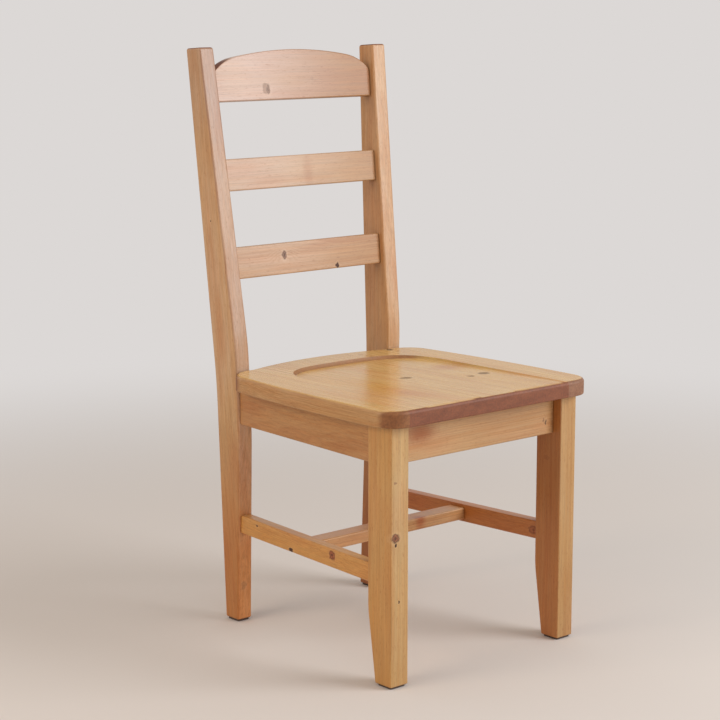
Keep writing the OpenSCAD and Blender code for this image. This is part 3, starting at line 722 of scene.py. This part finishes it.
class CHAIR_OT_back_boards(bpy.types.Operator):
    """Makes the crest rail and the two slats between the posts."""
    bl_idname = "chair.back_boards"
    bl_label = "Boards of the back"

    def execute(self, context):
        wood, tones = context.scene.chair_wood, context.scene.chair_tones
        upright = Matrix.Rotation(wood.rake, 3, "X")
        finishes = {
            "crest_rail": timber(
                "pine crest rail", X, (-1160, 160), tones.crest,
                knots=[at(-61.5, 0, 882, (8, 0, 9), GREY_KNOT, 0.45),
                       at(-57.5, 0, 880, (3.6, 0, 7), GREY_KNOT, 0.6),
                       at(38, 0, 896, (3, 0, 3), GREY_KNOT, 0.2)],
                # Its right end is tinted darker and more golden: painted shade, as the lamps' sheen
                # lies only on its left part.
                stains=[at(190, 0, 0, (200, 0, 0), "#d2b485")],
                contrast=0.12, streaks=0.25, end_from=0.15),
            "middle_slat": timber(
                "pine middle slat", X, (-1045, 180), tones.slat_middle,
                stains=[at(12, 0, 745, (9, 0, 22), "#e6cdbd", 0.55),
                        # Its right end is tinted darker: painted shade, as the lamps' sheen lies
                        # only on its left part.
                        at(190, 0, 0, (150, 0, 0), "#e6d4b6")],
                contrast=0.14, streaks=0.25),
            "lower_slat": timber(
                "pine lower slat", X, (-700, 140), tones.slat_lower,
                knots=[at(-55, 0, 609, (4.5, 0, 7), GREY_KNOT, 0.9),
                       at(58, 0, 583, (4, 0, 4), DARK_KNOT)],
                # Its right end is tinted darker: painted shade, as the lamps' sheen lies only on
                # its left part.
                stains=[at(190, 0, 0, (150, 0, 0), "#ecdcc0")],
                contrast=0.42, wave=22, streaks=0.4),
        }
        for node, finish in finishes.items():
            # the board is shaped standing upright, and leans back when it is done
            corners = corners_of(node, 0, upright)
            low, high = box_round(corners.values())
            top = max(p.z for p in points_of(node, upright))
            middle = (low + high) / 2
            arched = node == "crest_rail"
            board = start_block(node + "_board", low, high)
            if arched:
                cut_across(X, [high.x * k / ARCH_STEPS for k in range(2 - ARCH_STEPS,
                                                                      ARCH_STEPS - 1)])

            def where(point):
                at_end = abs(point.x) > high.x - TINY
                signs = signs_of(point, middle)
                place = corners[signs].copy() if at_end else point.copy()
                if arched and signs[2] > 0:
                    place.z = top - crest_drop(abs(place.x), wood)
                elif not at_end:
                    place.z = low.z
                return place
            move_points(board, where)
            for side, radius in ((1, wood.crest_corner if arched else wood.board_corner),
                                 (-1, wood.board_corner)):
                bevel_edges(board, lambda a, b: min(abs(a.x), abs(b.x)) > high.x - 1 * MM
                            and abs(a.y - b.y) > (high.y - low.y) / 2
                            and side * (a.z - middle.z) > 0, radius, 6)
            bpy.ops.object.mode_set(mode="OBJECT")
            board.rotation_euler.x = -wood.rake
            bpy.ops.object.transform_apply(location=False, rotation=True, scale=False)
            ease_edges(board, wood.ease * BOARD_EDGE)
            hand_over(board, finish, node)
        return {"FINISHED"}


def crest_drop(x, wood):
    """How far the crest's top has come down at a distance x from its middle."""
    inner = min(x, wood.shoulder_start)
    outer = x - inner
    return (inner ** 2 / (2 * wood.crown_radius) + outer * inner / wood.crown_radius
            + outer ** 2 / (2 * wood.shoulder_radius))


class CHAIR_OT_aprons(bpy.types.Operator):
    """Makes the four aprons under the seat."""
    bl_idname = "chair.aprons"
    bl_label = "Aprons"

    def execute(self, context):
        wood, tones = context.scene.chair_wood, context.scene.chair_tones
        ease = wood.ease * RAIL_EDGE
        front = fitted_bar("front_apron", "apron_front", 0, ease)
        hand_over(front, timber(
            "pine front apron", X, (-820, -160), tones.apron_front,
            knots=[at(147, 16, 363, (1.6, 0, 4.5), DARK_KNOT, 0.8),
                   at(141.5, 16, 367, (1.8, 0, 4), BROWN_KNOT, 0.7)],
            # The reddish patch at its top left is partly reddish wood and partly a painted shadow
            # of the seat above it.
            stains=[at(-126, 16, 386, (26, 0, 15), "#daaf90"),
                    at(60, 0, 0, (110, 0, 0), "#f2ebe7")]), "front_apron")
        back = fitted_bar("back_apron", "apron_back", 0, ease)
        hand_over(back, timber("pine back apron", X, (-600, 300), tones.apron_side),
                  "back_apron")
        left = fitted_bar("side_apron_left", "apron_left", 1, ease)
        right = mirrored(left, "apron_right")
        for apron, side, pith in ((left, "left", (-350, -330)), (right, "right", (320, -450))):
            hand_over(apron, timber("pine side apron " + side, Y, pith, tones.apron_side),
                      "side_apron_" + side)
        return {"FINISHED"}


class CHAIR_OT_stretchers(bpy.types.Operator):
    """Makes the H of stretchers between the legs."""
    bl_idname = "chair.stretchers"
    bl_label = "Stretchers"

    def execute(self, context):
        wood, tones = context.scene.chair_wood, context.scene.chair_tones
        ease = wood.ease * RAIL_EDGE
        left = fitted_bar("side_stretcher_left", "stretcher_left", 1, ease)
        right = mirrored(left, "stretcher_right")
        cross = fitted_bar("cross_stretcher", "stretcher_cross", 0, ease)
        hand_over(left, timber(
            "pine stretcher left", Y, (-350, -390), tones.stretcher_left,
            knots=[at(0, 359, 180, (0, 2.2, 1.8)), at(0, 262, 160.5, (0, 6, 3)),
                   at(0, 151, 177, (0, 7, 7), RED_KNOT)]),
            "side_stretcher_left")
        hand_over(right, timber(
            "pine stretcher right", Y, (360, -250), tones.stretcher_right,
            knots=[at(0, 66, 171, (0, 9, 7), RED_KNOT, 0.8)]),
            "side_stretcher_right")
        hand_over(cross, timber(
            "pine cross stretcher", X, (-420, -140), tones.stretcher_cross,
            stains=[at(-8, 215, 180, (14, 12, 18), "#dc9c7a", 0.8),
                    at(60, 215, 180, (10, 12, 18), "#dc9c7a", 0.8)]),
            "cross_stretcher")
        return {"FINISHED"}


def seat_outline(seat, low, high):
    """Places round the seat from above, anticlockwise from the front middle."""
    front, post_face = low.y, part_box("back_post_left")[0].y - SEAT_GAP
    front_turn, rear_turn = front + seat.front_radius, post_face - seat.rear_radius

    def edge(y):
        return high.x - (y - seat.widest) ** 2 / (2 * seat.side_radius)

    def corner(y, radius, start):
        turns = [radians(start + 90 * k / CORNER_STEPS) for k in range(CORNER_STEPS + 1)]
        return [(edge(y) + radius * (cos(a) - 1), y + radius * sin(a)) for a in turns]
    side = [front_turn + (rear_turn - front_turn) * k / SIDE_STEPS for k in range(1, SIDE_STEPS)]
    bow = [k / BOW_STEPS for k in range(BOW_STEPS, 0, -1)]
    half = (corner(front_turn, seat.front_radius, -90) + [(edge(y), y) for y in side]
            + corner(rear_turn, seat.rear_radius, 0)
            + [(share * seat.bow_half, post_face + seat.bow * (1 - share ** 2)) for share in bow]
            + [(0, post_face + seat.bow)])
    return half + [(-x, y) for x, y in reversed(half[:-1])]


def scoop_depth(seat, x, y, front):
    """Depth of the scoop: deep at the back, with two shallow leg channels in front."""
    back = seat.scoop_mid + seat.scoop_rear
    share = min(1, max(0, (back - y) / (back - front)))
    return (seat.deep + (seat.shallow - seat.deep) * share ** seat.scoop_fall
            - seat.shallow * exp(-(x / seat.pommel) ** 2) * share ** 2)


def cove(share):
    """Fall of the coved wall, from 0 at the rim to 1 at the floor."""
    return 1 if share >= 1 else sin(pi / 2 * share)


def lay_along(block, places):
    """Lays the newest points of the block along these places, in order."""
    bpy.ops.mesh.select_all(action="DESELECT")
    mesh = bmesh.from_edit_mesh(block.data)
    mesh.verts.ensure_lookup_table()
    for point, place in zip(mesh.verts[-len(places):], places):
        point.select_set(True)
        bpy.ops.transform.translate(value=place - point.co)
        point.select_set(False)


def start_ring(name, count, height, fill):
    """A ring of points at a height, in edit mode. Its radius doesn't count, since lay_along lays
    its points along an outline."""
    bpy.ops.object.select_all(action="DESELECT")
    bpy.ops.mesh.primitive_circle_add(vertices=count, radius=0.2, fill_type=fill,
                                      location=(0, 0, height))
    return open_new(name)


class CHAIR_OT_seat(bpy.types.Operator):
    """Makes the seat, scoops it, and saws it at its glue lines into four boards."""
    bl_idname = "chair.seat"
    bl_label = "Seat"

    def execute(self, context):
        seat, tones = context.scene.chair_seat, context.scene.chair_tones
        nodes = ["seat_board_%d" % n for n in (1, 2, 3, 4)]
        boxes = [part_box(node) for node in nodes]
        low, high = box_round(corner for box in boxes for corner in box)
        blank = self.make_blank(seat, low, high)
        scoop = self.make_scoop(seat, low, high)
        pick(blank)
        taken = blank.modifiers.new("Scoop", "BOOLEAN")
        taken.operation = "DIFFERENCE"
        taken.solver = "EXACT"
        taken.object = scoop
        apply_modifiers(blank)
        bpy.data.objects.remove(scoop)
        scooped = (6, LEG_FRONT + 250, 432), (150, 130, 12)

        def board_pine(nth, pith, **finish):
            """The seat's pine: glossier than the rails, and its end grain shows from the rim on."""
            return timber("pine seat board %d" % nth, Y, pith, tones.seat, gloss=0.26,
                          end_from=0.1, fine=scooped, **finish)
        finishes = [
            # Its faces turned to X, the seat's left edge among them, are darker and mauve: painted
            # shade.
            board_pine(1, (-530, -620), end=tones.end_left, faces=[(X, "#dacdd6")],
                       knots=[at(-82, 411, 0, (14, 5, 0), DARK_KNOT, 0.5)]),
            # The yellow patch is a painted reflection of the right back post in the seat's lacquer.
            board_pine(2, (-90, -860), stains=[at(-85, 130, 0, (34, 110, 0), "#f8e4ae", 0.8)]),
            # Its faces turned to X, the scoop's right wall among them, are tinted cooler: painted
            # light, for a pale sheen on them.
            board_pine(3, (90, -690), faces=[(X, "#eef9ff")],
                       knots=[at(2, 188, 0, (10, 8, 0), DARK_KNOT, 0.6),
                              at(89, 128, 0, (7, 6, 0), DARK_KNOT, 0.55),
                              at(123, 133, 0, (10, 9, 0), DARK_KNOT, 0.65),
                              at(144, 384, 0, (6, 6, 0), DARK_KNOT, 0.9),
                              at(75, 381, 0, (5, 4, 0), BROWN_KNOT, 0.3)],
                       stains=[at(118, 215, 0, (30, 24, 0), "#e9cdbd", 0.8)]),
            board_pine(4, (500, -620), end=tones.end_right)]
        for node, (board_low, board_high), finish in zip(nodes, boxes, finishes):
            board = copied(blank, node + "_pine")
            bpy.ops.object.mode_set(mode="EDIT")
            for place, keep in ((board_low.x, 1), (board_high.x, -1)):
                if low.x + 1 * MM < place < high.x - 1 * MM:
                    bpy.ops.mesh.select_all(action="SELECT")
                    bpy.ops.mesh.bisect(plane_co=X * place, plane_no=X, use_fill=True,
                                        clear_inner=keep > 0, clear_outer=keep < 0)
            bpy.ops.object.mode_set(mode="OBJECT")
            even_shading(board)
            hand_over(board, finish, node)
        bpy.data.objects.remove(blank)
        return {"FINISHED"}

    def make_blank(self, seat, low, high):
        """The seat's outline, extruded to its thickness, with its edges rounded over."""
        outline = [Vector((x, y, low.z)) for x, y in seat_outline(seat, low, high)]
        blank = start_ring("seat_blank", len(outline), low.z, "NGON")
        lay_along(blank, outline)
        bpy.ops.mesh.select_all(action="SELECT")
        bpy.ops.mesh.extrude_region_move(
            TRANSFORM_OT_translate={"value": (0, 0, high.z - low.z)})
        face_outwards()
        bevel_edges(blank, lambda a, b: min(a.z, b.z) > high.z - TINY, seat.top_ease, 6)
        bevel_edges(blank, lambda a, b: max(a.z, b.z) < low.z + TINY, seat.under_ease, 3)
        bpy.ops.object.mode_set(mode="OBJECT")
        return blank

    def make_scoop(self, seat, low, high):
        """The wood that the scoop takes away: rings stepping inward and down to its floor."""
        start = low.y - 20 * MM
        rise = 12 * MM
        innermost = 128 * MM

        def ring(inset):
            """Places along the scoop's rim, moved inward: up one flank, round, and down."""
            half, rear = seat.scoop_half - inset, seat.scoop_rear - inset
            down = [start + (seat.scoop_mid - start) * k / FLANK_STEPS
                    for k in range(FLANK_STEPS)]
            flank = [(half + seat.scoop_flare * (seat.scoop_mid - y), y) for y in down]
            curve = []
            for k in range(SCOOP_STEPS + 1):
                a = pi * k / SCOOP_STEPS
                side = 1 if cos(a) >= 0 else -1
                curve.append((-side * abs(cos(a)) ** seat.scoop_round * half,
                              seat.scoop_mid + max(sin(a), 0) ** seat.scoop_round * rear))
            return [(-x, y) for x, y in flank] + curve + flank[::-1]

        wall = seat.scoop_wall
        insets = [wall * f for f in (-0.25, -0.1, 0, 0.1, 0.22, 0.36, 0.5, 0.65, 0.8, 1)]
        insets += [wall + (innermost - wall) * k / FLOOR_STEPS for k in range(1, FLOOR_STEPS + 1)]
        brim = [Vector((x + seat.scoop_aside, y, high.z + rise)) for x, y in ring(insets[0])]
        scoop = start_ring("seat_scoop", len(brim), high.z, "NOTHING")
        lay_along(scoop, brim)
        for inset in insets:
            bpy.ops.mesh.select_all(action="DESELECT")
            mesh = bmesh.from_edit_mesh(scoop.data)
            mesh.verts.ensure_lookup_table()
            for point in mesh.verts[-len(brim):]:
                point.select_set(True)
            for edge in mesh.edges:
                edge.select_set(all(v.select for v in edge.verts))
            bpy.ops.mesh.extrude_edges_move()
            lay_along(scoop, [Vector((
                x + seat.scoop_aside, y,
                high.z - scoop_depth(seat, x, y, low.y) * cove(inset / wall)))
                for x, y in ring(inset)])
        bpy.ops.mesh.select_all(action="DESELECT")
        bpy.ops.mesh.select_non_manifold(extend=False)
        bpy.ops.mesh.edge_face_add()
        face_outwards()
        bpy.ops.object.mode_set(mode="OBJECT")
        return scoop


class CHAIR_OT_under_seat(bpy.types.Operator):
    """Dresses the corner blocks, screws and dowels."""
    bl_idname = "chair.under_seat"
    bl_label = "Blocks, screws and dowels"

    def execute(self, context):
        tones = context.scene.chair_tones
        # the blocks and dowels are bare wood, so they are nearly matt
        pine = timber("pine corner block", X, (-390, 300), tones.block, gloss=0.6)
        birch = timber("birch dowel", X, (0, 0), tones.birch, contrast=0.15, gloss=0.6)
        zinc = plated_zinc(tones.zinc)
        blocks = ["corner_block_" + corner for corner in (
            "front_left", "front_right", "rear_left", "rear_right")]
        for finish, nodes in ((pine, blocks), (zinc, ["block_screws", "seat_screws"]),
                              (birch, ["slat_dowels", "apron_dowels", "stretcher_dowels"])):
            for node in nodes:
                coat(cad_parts[node], finish)
        return {"FINISHED"}


class CHAIR_OT_foot_pads(bpy.types.Operator):
    """Makes the four felt pads that the chair stands on."""
    bl_idname = "chair.foot_pads"
    bl_label = "Foot pads"

    def execute(self, context):
        felt = wool_felt(context.scene.chair_tones.felt)
        for place in ("front", "rear"):
            node = "foot_pad_" + place
            low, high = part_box(node + "_left")
            left = start_block("felt_pad_%s_left" % place, low, high)
            bevel_edges(left, lambda a, b: abs(a.z - b.z) > (high.z - low.z) / 2, 2.5 * MM, 4)
            mesh = bmesh.from_edit_mesh(left.data)
            bpy.ops.mesh.select_mode(type="FACE")
            bpy.ops.mesh.select_all(action="DESELECT")
            for face in mesh.faces:
                face.select_set(abs(face.normal.z) > 0.9)
            bpy.ops.mesh.inset(thickness=1.5 * MM, use_individual=True)
            bpy.ops.mesh.select_mode(type="VERT")
            ease_edges(left, 0.6 * MM, 3)
            right = mirrored(left, "felt_pad_%s_right" % place)
            for pad, side in ((left, "_left"), (right, "_right")):
                hand_over(pad, felt, node + side)
        return {"FINISHED"}


class CHAIR_OT_stage(bpy.types.Operator):
    """Sets the pale floor, the soft lights and the camera."""
    bl_idname = "chair.stage"
    bl_label = "Stage"

    def execute(self, context):
        scene = context.scene
        stage = scene.chair_stage
        bpy.ops.object.select_all(action="DESELECT")
        bpy.ops.mesh.primitive_circle_add(vertices=96, radius=FLOOR_RADIUS, fill_type="NGON",
                                          location=(0, 0, 0))
        floor = context.object
        floor.name = floor.data.name = "studio_floor"
        coat(floor, matt_floor(stage.floor, stage.backdrop))

        # light comes from all round, but the camera and glossy surfaces see the backdrop
        world = bpy.data.worlds.new("studio")
        world.use_nodes = True
        scene.world = world
        add = partial(add_node, world.node_tree)
        light, output = (world.node_tree.nodes[name] for name in ("Background", "World Output"))
        set_inputs(light, {"Color": linear("#fff9f2"), "Strength": stage.ambient})
        shown = add("Background", stage.backdrop, 1.0)
        seen = add("Math", add("LightPath", out="Is Camera Ray"),
                   add("LightPath", out="Is Glossy Ray"), operation="MAXIMUM")
        set_inputs(output, {"Surface": add("MixShader", seen, light.outputs[0], shown)})

        def soft_light(name, place, size, power, colour):
            """A round lamp of this diameter, turned to the chair's middle."""
            lamp = bpy.data.lights.new(name, "AREA")
            lamp.shape = "DISK"
            lamp.size = size
            lamp.energy = power
            lamp.color = linear(colour)[:3]
            light = bpy.data.objects.new(name, lamp)
            light.location = place
            light.rotation_euler = (Vector((0, 0, 0.5)) - Vector(place)).to_track_quat(
                "-Z", "Y").to_euler()
            scene.collection.objects.link(light)
        soft_light("key", (1.7, -2.6, 1.8), 2.2, stage.key, "#ffffff")
        soft_light("fill", (-2.6, 0.3, 1.6), 1.6, stage.fill, "#ffe6cc")

        lens = bpy.data.cameras.new("camera")
        lens.sensor_width = 36
        lens.lens = stage.lens
        camera = bpy.data.objects.new("camera", lens)
        camera.location = stage.camera_place
        camera.rotation_euler = stage.camera_turn
        scene.collection.objects.link(camera)
        scene.camera = camera
        scene.view_settings.view_transform = "Standard"
        return {"FINISHED"}


class CHAIR_PT_panel(bpy.types.Panel):
    """Lists the chair's pieces and its settings."""
    bl_label = "Pine dining chair"
    bl_idname = "CHAIR_PT_panel"
    bl_space_type = "VIEW_3D"
    bl_region_type = "UI"
    bl_category = "Chair"

    def draw(self, context):
        for operator in PIECES:
            self.layout.operator(operator.bl_idname)
        for group in GROUPS:
            box = self.layout.box()
            settings = getattr(context.scene, group)
            for name in settings.__annotations__:
                box.prop(settings, name)


PIECES = (CHAIR_OT_posts, CHAIR_OT_legs, CHAIR_OT_back_boards, CHAIR_OT_aprons,
          CHAIR_OT_stretchers, CHAIR_OT_seat, CHAIR_OT_under_seat, CHAIR_OT_foot_pads,
          CHAIR_OT_stage)
GROUPS = {"chair_wood": ChairWood, "chair_tones": ChairTones, "chair_seat": ChairSeat,
          "chair_stage": ChairStage}


def register():
    """Makes the operators, the settings and the panel known."""
    for item in (*GROUPS.values(), *PIECES, CHAIR_PT_panel):
        bpy.utils.register_class(item)
    for name, group in GROUPS.items():
        setattr(bpy.types.Scene, name, PointerProperty(type=group))


def unregister():
    """Takes them away again."""
    for name in GROUPS:
        delattr(bpy.types.Scene, name)
    for item in reversed((*GROUPS.values(), *PIECES, CHAIR_PT_panel)):
        bpy.utils.unregister_class(item)


def main():
    """Makes the chair and its stage."""
    register()
    for operator in PIECES:
        group, name = operator.bl_idname.split(".")
        getattr(getattr(bpy.ops, group), name)()


if __name__ == "__main__":
    main()
